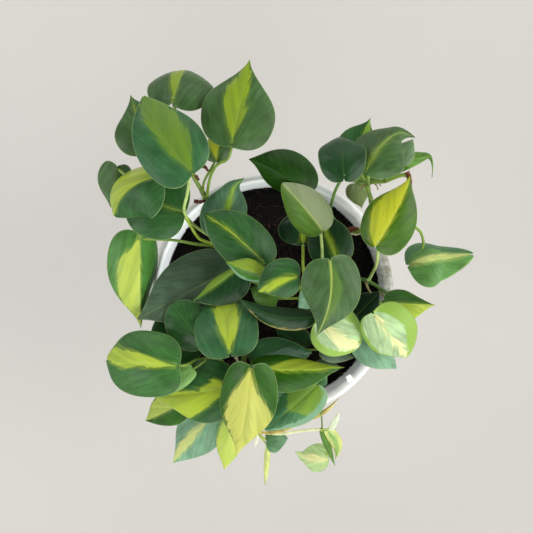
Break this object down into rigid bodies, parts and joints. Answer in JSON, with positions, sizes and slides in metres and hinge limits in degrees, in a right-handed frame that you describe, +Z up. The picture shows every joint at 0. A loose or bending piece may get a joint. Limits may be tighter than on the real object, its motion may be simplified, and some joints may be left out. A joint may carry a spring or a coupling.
{
  "type": "potted philodendron",
  "caption": "Heart-leaf philodendron with lime-banded leaves on trailing stems, growing in soil in a round white glazed pot.",
  "frame": {"origin": "centre of the pot's flat underside", "axes": "+Z up along the pot's axis, +Y towards the top of the picture, +X towards its right"},
  "size_m": [0.2732, 0.3154, 0.2309],
  "materials": {
    "glaze": "gloss",
    "soil": "matte",
    "foliage": "satin"
  },
  "bodies": {
    "root": {"pot": "glaze", "soil": "soil", "stem_upper_left": "foliage", "stem_left": "foliage", "stem_centre_left": "foliage", "stem_centre": "foliage", "stem_centre_top": "foliage", "stem_upper_right": "foliage", "stem_right": "foliage", "stem_lower_left": "foliage", "stem_lower": "foliage", "stem_lower_right": "foliage", "stem_trailing": "foliage"}
  },
  "joints": []
}
